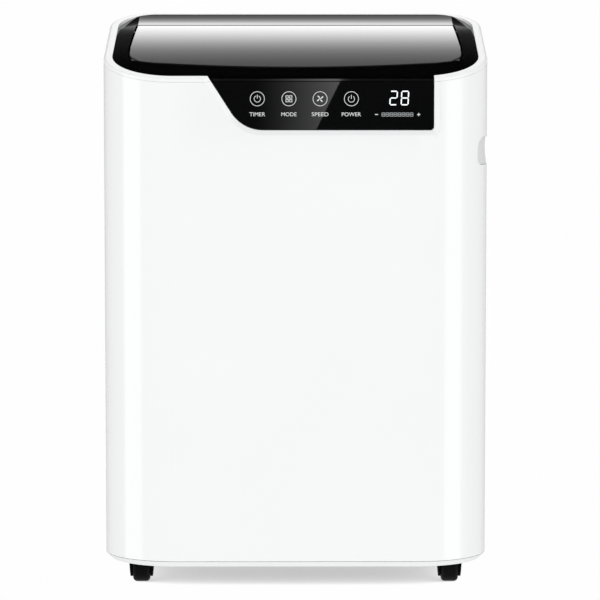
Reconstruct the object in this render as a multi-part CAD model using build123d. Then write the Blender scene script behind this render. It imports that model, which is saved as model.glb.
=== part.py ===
"""Portable dehumidifier: a white casing on four castors, with a sloping top, a powered air-outlet
flap, a touch panel, a rear intake with a filter, and a water tank that pulls out at the back.

Millimetres, +Z up. The front faces -Y. The origin is on the floor, under the middle of the casing.
"""

from build123d import *
import math
import os

# ---------------------------------------------------------------- driving dimensions
BODY_W = 355.0          # casing width
BODY_D = 196.0          # casing depth
CORNER_FRONT = 66.0     # plan radius of the two front corners
CORNER_BACK = 43.0      # plan radius of the two back corners
FLOOR_GAP = 21.5        # floor to underside of the casing
FRONT_H = 467.5         # floor to the top edge at the front
TOP_SLOPE = 18.2        # degrees, the top rises towards the back
CHAMFER = 5.0           # chamfer round the bottom edge
WALL = 2.5              # casing wall
SEAM_Y = -56.0          # where the front shell meets the rear shell
SEAM_GAP = 0.4
BACK_SEAM_X = 134.0     # where the back panel meets the two sides
COLLAR_W = 8.0          # white lip round the black top bezel
COLLAR_T = 2.8
COLLAR_ROUND = 2.2
FIT = 0.4               # gap between neighbouring trim pieces
RUN = 0.08              # radial running clearance

FRONT_Y = -BODY_D / 2
BACK_Y = BODY_D / 2
SHELL_Z = FLOOR_GAP + CHAMFER + 0.5
SLOPE = math.radians(TOP_SLOPE)
TOP_LEN = BODY_D / math.cos(SLOPE)
HIGH = 600.0            # above everything
WIDE = 900.0            # wider than everything

# Control panel on the front face: (x, z)
PANEL_LEFT_TOP = -77.5
PANEL_LEFT_FOOT = -48.0
PANEL_RIGHT = 125.2
PANEL_FOOT_Z = 421.5
PANEL_ARC = 34.0
PANEL_CORNER = 3.0
PANEL_BEVEL = 4.6
PANEL_SINK = 3.4
GLASS_T = 2.0

# Outlet flap, in the plane of the sloping top: x, and s measured up the slope from the front edge
FLAP_HALF = 153.6
FLAP_FRONT = 34.0
FLAP_BOW = 14.6
FLAP_BACK = 161.0
FLAP_BACK_HALF = 150.8
FLAP_CORNER = 24.0
FLAP_T = 3.0
FLAP_CROWN_R = 820.0
CROWN_N = 2.9            # the flap's highest line above the top's own plane
FLAP_GAP = 1.5
HINGE_S = 155.0
HINGE_N = -4.6
HINGE_R = 2.0
BUSH_R = 3.2
STEPPER_R = 5.6
STEPPER_OFFSET = 4.2     # the motor's body hangs this far below its own shaft

# Rear openings
TANK_HALF = 130.0
TANK_Z = (33.0, 206.0)
TANK_Y = 24.0
INTAKE_HALF = 124.5
INTAKE_Z = (277.0, 465.0)

# Castors
WHEEL_R = 12.5
WHEEL_W = 15.8
TRAIL = 9.0
FORK_W = 23.4
CHEEK = 3.4
STEM_R = 4.0
POCKET_R = 25.0
POCKET_ROOF = 33.0
SOCKET_R = 8.0
CUP_R = 27.2
CASTOR_X = 143.5
CASTORS = {
    "front_left": (-CASTOR_X, -40.0),
    "front_right": (CASTOR_X, -40.0),
    "rear_left": (-CASTOR_X, 50.0),
    "rear_right": (CASTOR_X, 50.0),
}

# Fan
FAN_Z = 356.0
FAN_R = 68.0
SHAFT_R = 4.0

parts = {}

# ---------------------------------------------------------------- frames and helpers
TOP = Plane(origin=(0, FRONT_Y, FRONT_H), x_dir=(1, 0, 0), z_dir=(0, -math.sin(SLOPE), math.cos(SLOPE)))


def facing_front(y):
    """A plane across the casing at y: local x is X, local y is Z, and it looks towards -Y."""
    return Plane(origin=(0, y, 0), x_dir=(1, 0, 0), z_dir=(0, -1, 0))


def facing_back(y):
    """The same, looking towards +Y, so local x runs along -X."""
    return Plane(origin=(0, y, 0), x_dir=(-1, 0, 0), z_dir=(0, 1, 0))


def block(x, y, z):
    """A box from three (low, high) pairs."""
    size = [high - low for low, high in (x, y, z)]
    middle = [(high + low) / 2 for low, high in (x, y, z)]
    return Pos(*middle) * Box(*size)


def rod_x(x, y, z, r):
    """A cylinder along X; x is (low, high)."""
    return Pos((x[0] + x[1]) / 2, y, z) * Rot(0, 90, 0) * Cylinder(r, x[1] - x[0])


def rod_y(x, y, z, r):
    """A cylinder along Y; y is (low, high)."""
    return Pos(x, (y[0] + y[1]) / 2, z) * Rot(90, 0, 0) * Cylinder(r, y[1] - y[0])


def rod_z(x, y, z, r):
    """A cylinder along Z; z is (low, high)."""
    return Pos(x, y, (z[0] + z[1]) / 2) * Cylinder(r, z[1] - z[0])


def rounded(x, y, radius):
    """A rectangle from two (low, high) pairs, with round corners."""
    size = (x[1] - x[0], y[1] - y[0])
    return Pos((x[0] + x[1]) / 2, (y[0] + y[1]) / 2) * RectangleRounded(*size, radius)


def plan(inset):
    """The casing seen from above, drawn in by inset."""
    half, front, back = BODY_W / 2 - inset, FRONT_Y + inset, BACK_Y - inset
    face = make_face(Polyline((-half, front), (half, front), (half, back), (-half, back), close=True))
    by_y = face.vertices().sort_by(Axis.Y)
    face = fillet(by_y[:2], CORNER_FRONT - inset)
    return fillet(face.vertices().group_by(Axis.Y)[-1], CORNER_BACK - inset)


def prism(inset, z0, z1):
    return extrude(Pos(0, 0, z0) * plan(inset), amount=z1 - z0)


def under_top(drop):
    """Everything below the sloping top, lowered by drop along its normal."""
    return TOP * Pos(0, TOP_LEN / 2, -drop - HIGH / 2) * Box(WIDE, WIDE, HIGH)


def casing(inset, z0, drop):
    """The casing's prism, drawn in by inset and cut off under the sloping top."""
    return prism(inset, z0, HIGH) & under_top(drop)


def tube(points, radii, r, inner=None):
    """A pipe along straight runs joined by arcs."""
    path = FilletPolyline(*points, radius=radii)
    ring = Circle(r) if inner is None else Circle(r) - Circle(inner)
    return sweep(Plane(path @ 0, z_dir=path % 0) * ring, path=path)


def both_sides(solid):
    return [solid, mirror(solid, about=Plane.YZ)]


# ---------------------------------------------------------------- outlines
def panel_outline(grow=0.0, top=FRONT_H + 30):
    """The touch panel: square on the right, with a raked and rounded left side."""
    rake = (PANEL_LEFT_FOOT - PANEL_LEFT_TOP) / (FRONT_H - PANEL_FOOT_Z)
    step = grow * math.hypot(1, rake)
    foot = PANEL_FOOT_Z - grow

    def left(z):
        return PANEL_LEFT_TOP + (FRONT_H - z) * rake - step

    right = PANEL_RIGHT + grow
    face = make_face(Polyline((left(top), top), (left(foot), foot), (right, foot), (right, top), close=True))
    low = face.vertices().group_by(Axis.Y)[0].sort_by(Axis.X)
    face = fillet(low[0], PANEL_ARC + grow)
    low = face.vertices().group_by(Axis.Y)[0].sort_by(Axis.X)
    return fillet(low[-1], max(PANEL_CORNER + grow, 0.8))


def flap_outline(grow=0.0, back=FLAP_BACK):
    """The outlet flap in the top's own plane: a bowed front edge, a straight hinge edge."""
    half, front = FLAP_HALF + grow, FLAP_FRONT - grow
    ends = front + FLAP_BOW
    bow = ThreePointArc((-half, ends), (0, front), (half, ends))
    sides = Polyline((half, ends), (half, 90), (FLAP_BACK_HALF + grow, back), (-FLAP_BACK_HALF - grow, back),
                     (-half, 90), (-half, ends))
    face = make_face(bow + sides)
    corners = [v for v in face.vertices() if abs(v.Y - ends) < 0.01]
    return fillet(corners, FLAP_CORNER + grow)


# ---------------------------------------------------------------- casing
GRIP_BACK = 64.0
GRIP_FRONT = {"left": -29.0, "right": -68.0}
GRIP_Z = (389.0, 414.5)
GRIP_LEDGE_Z = 397.5
GRIP_SINK = 1.6
GRIP_POCKET_Y = {"left": (-16.0, 42.0), "right": (-42.0, 42.0)}
GRIP_POCKET_X = (147.0, 177.0)
GRIP_POCKET_Z = (399.0, 422.0)


def grip_outline(side, grow=0.0):
    """A side grip's opening on the YZ plane, with larger radii along its top."""
    low, high = GRIP_Z[0] - grow, GRIP_Z[1] + grow
    front, back = GRIP_FRONT[side] - grow, GRIP_BACK + grow
    face = make_face(Polyline((front, low), (back, low), (back, high), (front, high), close=True))
    face = fillet(face.vertices().group_by(Axis.Y)[-1], 12.0 + grow)
    return fillet(face.vertices().group_by(Axis.Y)[0], 6.0 + grow)


def grip_cut(side, grow=0.0, x=(150.0, 190.0)):
    """The grip's outline driven through the right-hand wall."""
    return extrude(Plane.YZ.offset(x[0]) * grip_outline(side, grow), amount=x[1] - x[0])


def on_side(side, solid):
    """Move a part drawn on the right to its own side."""
    return solid if side == "right" else mirror(solid, about=Plane.YZ)


def casing_wall():
    wall = casing(0, SHELL_Z, COLLAR_T + FIT / 2) - casing(WALL, SHELL_Z - 1, -20)
    for side in GRIP_FRONT:
        wall -= on_side(side, grip_cut(side))
    return wall


def panel_bevel():
    """The slope from the casing's face down to the sunk touch panel."""
    return loft([facing_front(FRONT_Y - 0.1) * panel_outline(FIT + PANEL_BEVEL, top=FRONT_H + 60),
                 facing_front(FRONT_Y + PANEL_SINK) * panel_outline(FIT, top=FRONT_H + 60)])


def split_rear(rear):
    """The rear shell comes apart into a left side, a back panel and a right side."""
    half = BACK_SEAM_X - SEAM_GAP / 2
    middle = rear & block((-half, half), (-WIDE, WIDE), (0, HIGH))
    right = rear & block((BACK_SEAM_X + SEAM_GAP / 2, WIDE), (-WIDE, WIDE), (0, HIGH))
    left = rear & block((-WIDE, -BACK_SEAM_X - SEAM_GAP / 2), (-WIDE, WIDE), (0, HIGH))
    return [left, middle, right]


def make_shells():
    wall = casing_wall()
    front = wall & block((-WIDE, WIDE), (-WIDE, SEAM_Y - SEAM_GAP / 2), (0, HIGH))
    window = extrude(facing_front(FRONT_Y + 30) * panel_outline(FIT), amount=60)
    lip = extrude(facing_front(FRONT_Y + PANEL_SINK + 0.8) * panel_outline(FIT + PANEL_BEVEL + 0.6),
                  amount=PANEL_SINK + 0.4) & under_top(COLLAR_T + FIT / 2)
    front = front + lip - window - panel_bevel()
    parts["front_shell"] = front

    rear = wall & block((-WIDE, WIDE), (SEAM_Y + SEAM_GAP / 2, WIDE), (0, HIGH))
    tank_hole = rounded((-TANK_HALF - 1, TANK_HALF + 1), (TANK_Z[0] - 1, TANK_Z[1] + 1), 11)
    intake_hole = rounded((-INTAKE_HALF - FIT, INTAKE_HALF + FIT), (INTAKE_Z[0] - FIT, INTAKE_Z[1] + FIT), 8 + FIT)
    for sketch in (tank_hole, intake_hole):
        rear -= extrude(facing_back(BACK_Y - 20) * sketch, amount=30)
    for x, z in CASE_SCREWS:
        rear += rod_y(x, (BACK_Y - 14, BACK_Y - WALL), z, 6.0)
        rear -= rod_y(x, (BACK_Y - 20, BACK_Y + 1), z, SCREW_R)
        rear -= rod_y(x, (BACK_Y - SCREW_HEAD_T - 0.6, BACK_Y + 1), z, SCREW_HEAD_R + 0.3)
    rear -= rod_y(DRAIN[0], (BACK_Y - 20, BACK_Y + 1), DRAIN[1], DRAIN_R + 2)
    rear -= rod_y(GLAND[0], (BACK_Y - 20, BACK_Y + 1), GLAND[1], GLAND_R)
    parts["rear_shell"] = split_rear(rear)


def is_outer_rim(edge):
    """True for the edges where the collar's top meets the outside of the casing."""
    middle = edge @ 0.5
    on_top = abs(TOP.to_local_coords(middle).Z) < 0.01
    return on_top and not prism(0.05, 0, HIGH).is_inside(middle) and edge.length > 1


def make_collar():
    ring = casing(0, FRONT_H - 30, 0) - casing(0, 0, COLLAR_T) - casing(COLLAR_W, 0, -20)
    ring -= extrude(facing_front(FRONT_Y + 20) * panel_outline(FIT, top=HIGH), amount=30)
    outer_edges = [e for e in ring.edges() if is_outer_rim(e)]
    ring = fillet(outer_edges, COLLAR_ROUND) - panel_bevel()
    skirt = casing(WALL + 0.3, FRONT_H - 30, COLLAR_T) - casing(0, 0, COLLAR_T + 9) - casing(WALL + 2.3, 0, -20)
    skirt -= block((PANEL_LEFT_TOP - 8, PANEL_RIGHT + 6), (FRONT_Y - 5, FRONT_Y + 20), (0, HIGH))
    parts["top_collar"] = ring + skirt


def make_grip(side):
    """A sunk panel with a ramp along its foot and a deep finger pocket behind it."""
    land = (prism(GRIP_SINK, GRIP_Z[0], GRIP_Z[1]) - prism(WALL + 1.6, 0, HIGH)) & grip_cut(side, -FIT)
    flange = (prism(WALL + 0.1, GRIP_Z[0] - 8, GRIP_Z[1] + 8) - prism(WALL + 2.1, 0, HIGH)) & grip_cut(side, 5.0)
    ramp_h = GRIP_LEDGE_Z - GRIP_Z[0]
    ramp = extrude(Pos(0, 0, GRIP_Z[0]) * plan(0.3), amount=ramp_h,
                   taper=math.degrees(math.atan((GRIP_SINK - 0.3) / ramp_h)))
    ramp = (ramp - prism(WALL + 1.6, 0, HIGH)) & grip_cut(side, -FIT)
    x, y, z = GRIP_POCKET_X, GRIP_POCKET_Y[side], GRIP_POCKET_Z
    skin = 1.8
    cup = block((x[0] - skin, BODY_W / 2 - WALL - 2), (y[0] - skin, y[1] + skin), (z[0] - skin, z[1] + skin))
    mouth = block((x[0], BODY_W), y, (z[0], GRIP_Z[1] - 5))
    hollow = block((x[0], BODY_W / 2 - WALL - 2.2), y, z)
    return on_side(side, (land + flange + ramp + cup) - mouth - hollow)


def make_grips():
    parts["side_grips"] = [make_grip(side) for side in GRIP_FRONT]


CASE_SCREWS = [(-110, 240), (110, 240), (-110, 492), (110, 492)]
BASE_SCREWS = [(-100, -78), (100, -78), (-100, 82), (100, 82)]
SCREW_R = 1.75
SCREW_HEAD_R = 3.6
SCREW_HEAD_T = 2.2
DRAIN = (143.0, 264.0)
DRAIN_R = 6.0
GLAND = (146.0, 60.0)
GLAND_R = 7.0


def make_base():
    foot = extrude(Pos(0, 0, FLOOR_GAP) * plan(CHAMFER), amount=CHAMFER, taper=-45)
    pan = foot + prism(0, FLOOR_GAP + CHAMFER, SHELL_Z - FIT)
    rim = prism(WALL + 0.3, FLOOR_GAP + CHAMFER, 44) - prism(WALL + 2.3, 0, HIGH)
    rim -= block((-TANK_HALF - 3, TANK_HALF + 3), (0, WIDE), (SHELL_Z + 2, HIGH))
    rim -= rod_y(GLAND[0], (0, WIDE), GLAND[1], 18)
    pan += rim
    for x, y in CASTORS.values():
        pan -= rod_z(x, y, (0, 60), CUP_R + 0.05)
    for x, y in BASE_SCREWS:
        pan -= rod_z(x, y, (0, 60), SCREW_R)
        pan -= rod_z(x, y, (0, FLOOR_GAP + SCREW_HEAD_T + 0.6), SCREW_HEAD_R + 0.3)
    parts["base_pan"] = pan


def make_castor(name, x, y):
    """One castor: a fork that swivels on its stem, a wheel, and the axle pressed into the fork."""
    wy = y - TRAIL
    wheel_z = WHEEL_R
    crown_z = 2 * WHEEL_R + 2
    front = Polyline((-FORK_W / 2, crown_z + 4), (FORK_W / 2, crown_z + 4), (FORK_W / 2, crown_z - 2),
                     (FORK_W / 2 - 1.3, 5.2), (-FORK_W / 2 + 1.3, 5.2), (-FORK_W / 2, crown_z - 2), close=True)
    side = Polyline((y + 11, crown_z + 4), (y + 11, crown_z - 3), (wy + 7, wheel_z - 3), (wy + 3.5, 5.2),
                    (wy - 3.5, 5.2), (wy - 7, wheel_z - 3), (wy - 8.5, crown_z - 3), (wy - 5, crown_z + 4), close=True)
    across = extrude(facing_front(y + 40) * Pos(x, 0) * make_face(front), amount=80)
    along = extrude(Plane.YZ.offset(x - FORK_W) * make_face(side), amount=2 * FORK_W)
    fork = across & along
    slot = block((x - FORK_W / 2 + CHEEK, x + FORK_W / 2 - CHEEK), (y - 40, y + 40), (0, crown_z))
    fork -= slot
    fork -= rod_x((x - FORK_W, x + FORK_W), wy, wheel_z, 2.0)
    fork += rod_z(x, y, (crown_z + 3, 50), STEM_R)
    axle = rod_x((x - FORK_W / 2 + 0.8, x + FORK_W / 2 - 0.8), wy, wheel_z, 2.0)
    parts[f"castor_fork_{name}"] = [fork, axle]

    tyre = Circle(WHEEL_R)
    wheel = Pos(x, wy, wheel_z) * Rot(0, 90, 0) * extrude(tyre, amount=WHEEL_W / 2, both=True)
    wheel = fillet(wheel.edges().filter_by(GeomType.CIRCLE), 3.6)
    for sign in (-1, 1):
        dish = Pos(x + sign * WHEEL_W / 2, wy, wheel_z) * Rot(0, 90, 0) * Cylinder(6.5, 2.4)
        hub = Pos(x + sign * WHEEL_W / 2, wy, wheel_z) * Rot(0, 90, 0) * Cylinder(3.4, 2.4)
        wheel -= dish - hub
    wheel -= rod_x((x - WHEEL_W, x + WHEEL_W), wy, wheel_z, 2.0 + RUN)
    parts[f"castor_wheel_{name}"] = wheel


def make_castor_sockets():
    """Four cups pressed into the base pan; each roof carries the sleeve for a castor's stem."""
    sockets = []
    for x, y in CASTORS.values():
        cup = rod_z(x, y, (FLOOR_GAP + 1, POCKET_ROOF + 3), CUP_R) + rod_z(x, y, (POCKET_ROOF, 52), SOCKET_R)
        cup -= rod_z(x, y, (0, POCKET_ROOF), POCKET_R)
        sockets.append(cup - rod_z(x, y, (0, 60), STEM_R + RUN))
    parts["castor_sockets"] = sockets


BEZEL_INSET = COLLAR_W + 0.4
BEZEL_RISE = 2.4
BEZEL_FRONT_N = -0.4     # level of the bezel just in front of the flap
BEZEL_FRONT_TILT = 7.0   # degrees the front band falls away from the top's slope
BEZEL_SIDE_X = 151.0     # the side bands start to fall away here
BEZEL_SIDE_TILT = 9.0
VALLEY_R = 203.0         # the sweep up to the back rim
TONGUE_TILT = 9.0
BEZEL_DROP = 17.0
BACK_WALL_S = FLAP_BACK + 2.2


def hinge_rod(x, r, below=0.0):
    """A cylinder on the flap's hinge line, or below it; x is any pair of ends."""
    low, high = min(x), max(x)
    return TOP * (Pos((low + high) / 2, HINGE_S, HINGE_N - below) * Rot(0, 90, 0) * Cylinder(r, high - low))


def half_space(point, tilt):
    """Everything below a plane through a point, tilted about the X and Y axes."""
    return Pos(*point) * Rot(*tilt, 0) * Pos(0, 0, -HIGH / 2) * Box(2 * WIDE, 2 * WIDE, HIGH)


def crown(drop=0.0):
    """The wide cylinder that the flap and the bezel share as their upper face."""
    middle = (FLAP_FRONT + FLAP_BACK) / 2
    return Pos(0, middle, CROWN_N - FLAP_CROWN_R) * Rot(0, 90, 0) * Cylinder(FLAP_CROWN_R - drop, WIDE)


def roof_profile():
    """The bezel's section along the slope: the flap's crown, then a shallow valley up to the back rim."""
    start = BACK_WALL_S
    middle = (FLAP_FRONT + FLAP_BACK) / 2
    fall = math.asin((start - middle) / FLAP_CROWN_R)
    level = CROWN_N - FLAP_CROWN_R * (1 - math.cos(fall))
    low_s = start + VALLEY_R * math.sin(fall)
    low_n = level - VALLEY_R * (1 - math.cos(fall))
    valley = Pos(0, low_s, low_n + VALLEY_R) * Rot(0, 90, 0) * Cylinder(VALLEY_R, WIDE)
    back = block((-WIDE / 2, WIDE / 2), (start, HIGH), (-HIGH / 2, 8)) - valley
    return (crown() & block((-WIDE, WIDE), (-HIGH, start), (-WIDE, HIGH))) + back


def bezel_roof():
    """The bezel's upper form: its profile, falling away in front and at both sides."""
    profile = roof_profile()
    roof = profile & half_space((0, FLAP_FRONT, BEZEL_FRONT_N), (BEZEL_FRONT_TILT, 0))
    for side in (-1, 1):
        hinge = Pos(side * BEZEL_SIDE_X, 0, CROWN_N)
        roof &= hinge * Rot(0, side * BEZEL_SIDE_TILT, 0) * Pos(0, 0, -CROWN_N) * profile
    return TOP * roof


def make_tongue():
    """The strip that carries the bezel forward over the top edge of the touch panel."""
    strip = extrude(facing_front(FRONT_Y + BEZEL_INSET + 1) * panel_outline(0, top=HIGH),
                    amount=BEZEL_INSET + 1 - PANEL_SINK)
    strip &= block((-WIDE, WIDE), (-WIDE, WIDE), (FRONT_H - 12, HIGH))
    strip &= TOP * half_space((0, BEZEL_INSET + 1, 0), (TONGUE_TILT, 0))
    web = strip & block((-WIDE, WIDE), (FRONT_Y + BEZEL_INSET, WIDE), (FRONT_H - 7, HIGH))
    return (strip - casing(-10, 0, COLLAR_T)) + web


def make_bezel():
    """Black glossy frame round the flap, with the flap's bearings in its side bands."""
    ring = casing(BEZEL_INSET, 0, -BEZEL_RISE) - casing(BEZEL_INSET - 5, 0, BEZEL_DROP)
    opening = flap_outline(FLAP_GAP, back=BACK_WALL_S)
    ring -= TOP * extrude(Pos(0, 0, -40) * opening, amount=60)
    hollow = casing(BEZEL_INSET + 2.2, 0, 9.0) - casing(0, 0, 40)
    hollow -= TOP * extrude(Pos(0, 0, -60) * flap_outline(FLAP_GAP + 3.2, back=BACK_WALL_S + 2.0), amount=120)
    ring -= hollow
    for side in (-1, 1):
        ring += hinge_rod((side * 154.0, side * 160.5), 6.0)
    ring &= bezel_roof()
    ring -= block((PANEL_LEFT_TOP - 5, PANEL_RIGHT + 5), (FRONT_Y, FRONT_Y + 13), (0, FRONT_H - 7))
    ring += make_tongue()
    for side in (-1, 1):
        ring -= hinge_rod((side * 156.0, side * 160.6), BUSH_R)
        ring -= hinge_rod((side * 150.0, side * 157.0), HINGE_R + 0.4)
    ring -= hinge_rod((-167.7, -160.5), STEPPER_R + 0.2, STEPPER_OFFSET)
    ring -= hinge_rod((-165.6, -160.5), HINGE_R + 0.4)
    ring -= TOP * block((-167.7, -160.5), (HINGE_S - STEPPER_R - 0.2, HINGE_S + STEPPER_R + 0.2),
                        (-30, HINGE_N - STEPPER_OFFSET))
    parts["top_bezel"] = ring
    bushes = []
    for side in (-1, 1):
        sleeve = hinge_rod((side * 156.0, side * 160.5), BUSH_R)
        bushes.append(sleeve - hinge_rod((side * 150.0, side * 162.0), HINGE_R + RUN))
    parts["flap_bushes"] = bushes


def make_flap():
    """Crowned outlet flap with stiffening ribs, turning on two pins behind its hinge edge."""
    middle = (FLAP_FRONT + FLAP_BACK) / 2
    sheet = extrude(Pos(0, 0, -12) * flap_outline(), amount=20) & (crown() - crown(FLAP_T))
    top_edges = [e for e in sheet.edges() if (e @ 0.5).Z > CROWN_N - 4 and e.length > 5
                 and abs(math.hypot((e @ 0.5).Y - middle, (e @ 0.5).Z - CROWN_N + FLAP_CROWN_R) - FLAP_CROWN_R) < 0.05]
    sheet = chamfer(top_edges, 0.5)
    for x in (-100, -50, 0, 50, 100):
        sheet += block((x - 1, x + 1), (FLAP_FRONT + 14, FLAP_BACK - 12), (-3.4, 2)) & crown(FLAP_T - 0.6)
    for x in (-1, 1):
        ear = block((-3, 3), (HINGE_S - 4.5, HINGE_S + 4.5), (HINGE_N - 4.2, -1.4))
        ear = fillet(ear.edges().filter_by(Axis.X).group_by(Axis.Z)[0], 3.5)
        sheet += Pos(x * 147.5, 0, 0) * ear
        sheet -= Pos(x * 147.5, HINGE_S, HINGE_N) * Rot(0, 90, 0) * Cylinder(HINGE_R, 8)
    parts["outlet_flap"] = TOP * sheet
    parts["flap_pins"] = [hinge_rod((146, 160), HINGE_R), hinge_rod((-165, -146), HINGE_R)]


def make_outlet():
    """Finger guard under the flap, its stepper motor, and the duct down to the fan."""
    guard_n = (-15.5, -12.5)
    edge = TOP * extrude(Pos(0, 0, guard_n[0]) * flap_outline(-0.6, back=FLAP_BACK - 2), amount=3)
    for i in range(-10, 10):
        x = 14.0 * i + 7
        edge -= TOP * block((x - 5.8, x + 5.8), (52, 96), (-20, 0))
        edge -= TOP * block((x - 5.8, x + 5.8), (99, 146), (-20, 0))
    parts["outlet_guard"] = edge

    stepper = hinge_rod((-167.5, -160.9), STEPPER_R, STEPPER_OFFSET)
    stepper += TOP * block((-167.5, -164.5), (HINGE_S - 5, HINGE_S + 5), (HINGE_N - 13, HINGE_N - STEPPER_OFFSET))
    parts["flap_stepper"] = stepper - hinge_rod((-165.2, -160), HINGE_R + RUN)

    throat = Pos(0, 0, SCROLL_TOP) * rounded((SCROLL_OUT[0], SCROLL_OUT[1]), (SCROLL_Y[0], SCROLL_Y[1]), 3)
    mouth = TOP * Pos(0, 0, -BEZEL_DROP - 0.3) * rounded((-146, 146), (44, 146), 3)
    throat_in = Pos(0, 0, SCROLL_TOP) * rounded((SCROLL_OUT[0] + 2, SCROLL_OUT[1] - 2),
                                               (SCROLL_Y[0] + 2, SCROLL_Y[1] - 2), 1)
    mouth_in = TOP * Pos(0, 0, -BEZEL_DROP - 0.3) * rounded((-144, 144), (46, 144), 1)
    parts["outlet_duct"] = loft([throat, mouth]) - loft([throat_in, mouth_in])


# ---------------------------------------------------------------- control panel
def make_controls():
    glass = extrude(facing_front(FRONT_Y + PANEL_SINK + GLASS_T) * panel_outline(0), amount=GLASS_T)
    glass &= under_top(COLLAR_T + FIT)
    front_edges = [e for e in glass.edges() if abs((e @ 0.5).Y - FRONT_Y - PANEL_SINK) < 0.01]
    parts["panel_glass"] = chamfer(front_edges, 0.35)
    carrier_y = (FRONT_Y + PANEL_SINK + GLASS_T, FRONT_Y + 11)
    outer = extrude(facing_front(carrier_y[1]) * panel_outline(-1.5), amount=carrier_y[1] - carrier_y[0])
    pocket = extrude(facing_front(carrier_y[1] + 1) * panel_outline(-4.0, top=FRONT_H - 10.5),
                     amount=carrier_y[1] - carrier_y[0] - 1.5)
    keep = block((-WIDE, WIDE), (-WIDE, WIDE), (0, FRONT_H - 7.5))
    parts["panel_carrier"] = (outer & keep) - pocket
    board = block((-38, 118), (FRONT_Y + 8.4, FRONT_Y + 10.0), (427, 456))
    parts["display_board"] = board
    sensor = block((88, 104), (FRONT_Y + WALL, FRONT_Y + 14), (392, 411))
    parts["humidity_sensor"] = sensor


# ---------------------------------------------------------------- fan
SCROLL_Y = (-28.0, 34.0)
SCROLL_TOP = 446.0
SCROLL_OUT = (2.0, 96.0)
SCROLL_R0 = 78.0
SCROLL_STEP = 6.0


def scroll_sketch(wall):
    """A volute of four quarter discs, each larger than the last, with its throat going up."""
    sketch = None
    for i in range(4):
        r = SCROLL_R0 + SCROLL_STEP * i - wall
        a = math.radians(90 * i + 135)
        centre = (SCROLL_STEP * 0.707 * math.cos(a), FAN_Z + SCROLL_STEP * 0.707 * math.sin(a))
        q = math.radians(90 * i + 135)
        quarter = (Pos(*centre) * Circle(r)) & (
            Pos(centre[0] + r * 0.7071 * math.cos(q) * 1.0, centre[1] + r * 0.7071 * math.sin(q) * 1.0)
            * Rectangle(r, r))
        sketch = quarter if sketch is None else sketch + quarter
    right = SCROLL_OUT[1] - wall
    throat = Polyline((SCROLL_OUT[0] + wall, FAN_Z), (right, FAN_Z), (right, SCROLL_TOP), (SCROLL_OUT[0] + wall, SCROLL_TOP),
                      close=True)
    return sketch + make_face(throat) + Pos(0, FAN_Z) * Circle(SCROLL_R0 - wall)


def make_fan():
    y0, y1 = SCROLL_Y
    outer = extrude(facing_front(y1) * scroll_sketch(0), amount=y1 - y0)
    inner = extrude(facing_front(y1 - 2) * scroll_sketch(2), amount=y1 - y0 - 4)
    inner += block((SCROLL_OUT[0] + 2, SCROLL_OUT[1] - 2), (y0 + 2, y1 - 2), (SCROLL_TOP - 10, SCROLL_TOP + 5))
    scroll = outer - inner - rod_y(0, (0, y1 + 1), FAN_Z, 58) - rod_y(0, (y0 - 1, 0), FAN_Z, 12)
    split = (y0 + y1) / 2
    parts["fan_scroll_front"] = scroll & block((-WIDE, WIDE), (-WIDE, split), (0, HIGH))
    parts["fan_scroll_rear"] = scroll & block((-WIDE, WIDE), (split, WIDE), (0, HIGH))

    disc = (y0 + 6, y0 + 8)
    rim = (y1 - 9, y1 - 7)
    wheel = rod_y(0, disc, FAN_Z, FAN_R) + rod_y(0, (disc[0], disc[1] + 20), FAN_Z, 12)
    blades = []
    count = 36
    for i in range(count):
        blade = Pos(FAN_R - 6, 0, 0) * Rot(0, 28, 0) * Box(11, rim[0] - disc[1] + 1, 1.2)
        blades.append(Pos(0, (disc[1] + rim[0]) / 2, FAN_Z) * Rot(0, 360 / count * i, 0) * blade)
    wheel = wheel + blades + (rod_y(0, rim, FAN_Z, FAN_R) - rod_y(0, rim, FAN_Z, FAN_R - 11))
    wheel -= rod_y(0, (y0, y1), FAN_Z, SHAFT_R)
    parts["fan_impeller"] = wheel

    motor = rod_y(0, (-84, y0 - 2), FAN_Z, 38)
    motor = fillet(motor.edges().filter_by(GeomType.CIRCLE), 5)
    motor += rod_y(0, (y0 - 4, y0), FAN_Z, 52)
    motor -= rod_y(0, (-78, y1), FAN_Z, SHAFT_R + RUN)
    parts["fan_motor"] = motor
    parts["fan_shaft"] = rod_y(0, (-76, disc[1] + 26), FAN_Z, SHAFT_R)
    nut = extrude(facing_front(disc[1] + 25) * Pos(0, FAN_Z) * RegularPolygon(7.5, 6), amount=5)
    parts["fan_nut"] = nut - rod_y(0, (y0, y1), FAN_Z, SHAFT_R)


# ---------------------------------------------------------------- refrigeration
COIL_Z = 284.0
COIL_PITCH = 22.0
COIL_PASSES = 8
COIL_HALF = 112.0
COIL_R = 3.5
COIL_DEPTH = 20.0
EVAPORATOR_Y = 72.0
CONDENSER_Y = 47.0
HOT_X = -138.0
COLD_X = -148.0


def serpentine(y, z0, passes, pitch, half, r):
    """A tube that runs to and fro along X, joined by half-round return bends."""
    z = z0
    side = -1
    path = None
    for i in range(passes):
        run = Line((side * -half * -1, y, z), (-side * half, y, z))
        path = run if path is None else path + run
        if i < passes - 1:
            x = -side * half
            bend = ThreePointArc((x, y, z), (x - side * pitch / 2, y, z + pitch / 2), (x, y, z + pitch))
            path += bend
            z += pitch
            side = -side
    start = Plane(origin=(-half, y, z0), z_dir=(1, 0, 0))
    return sweep(start * Circle(r), path=path)


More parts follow.
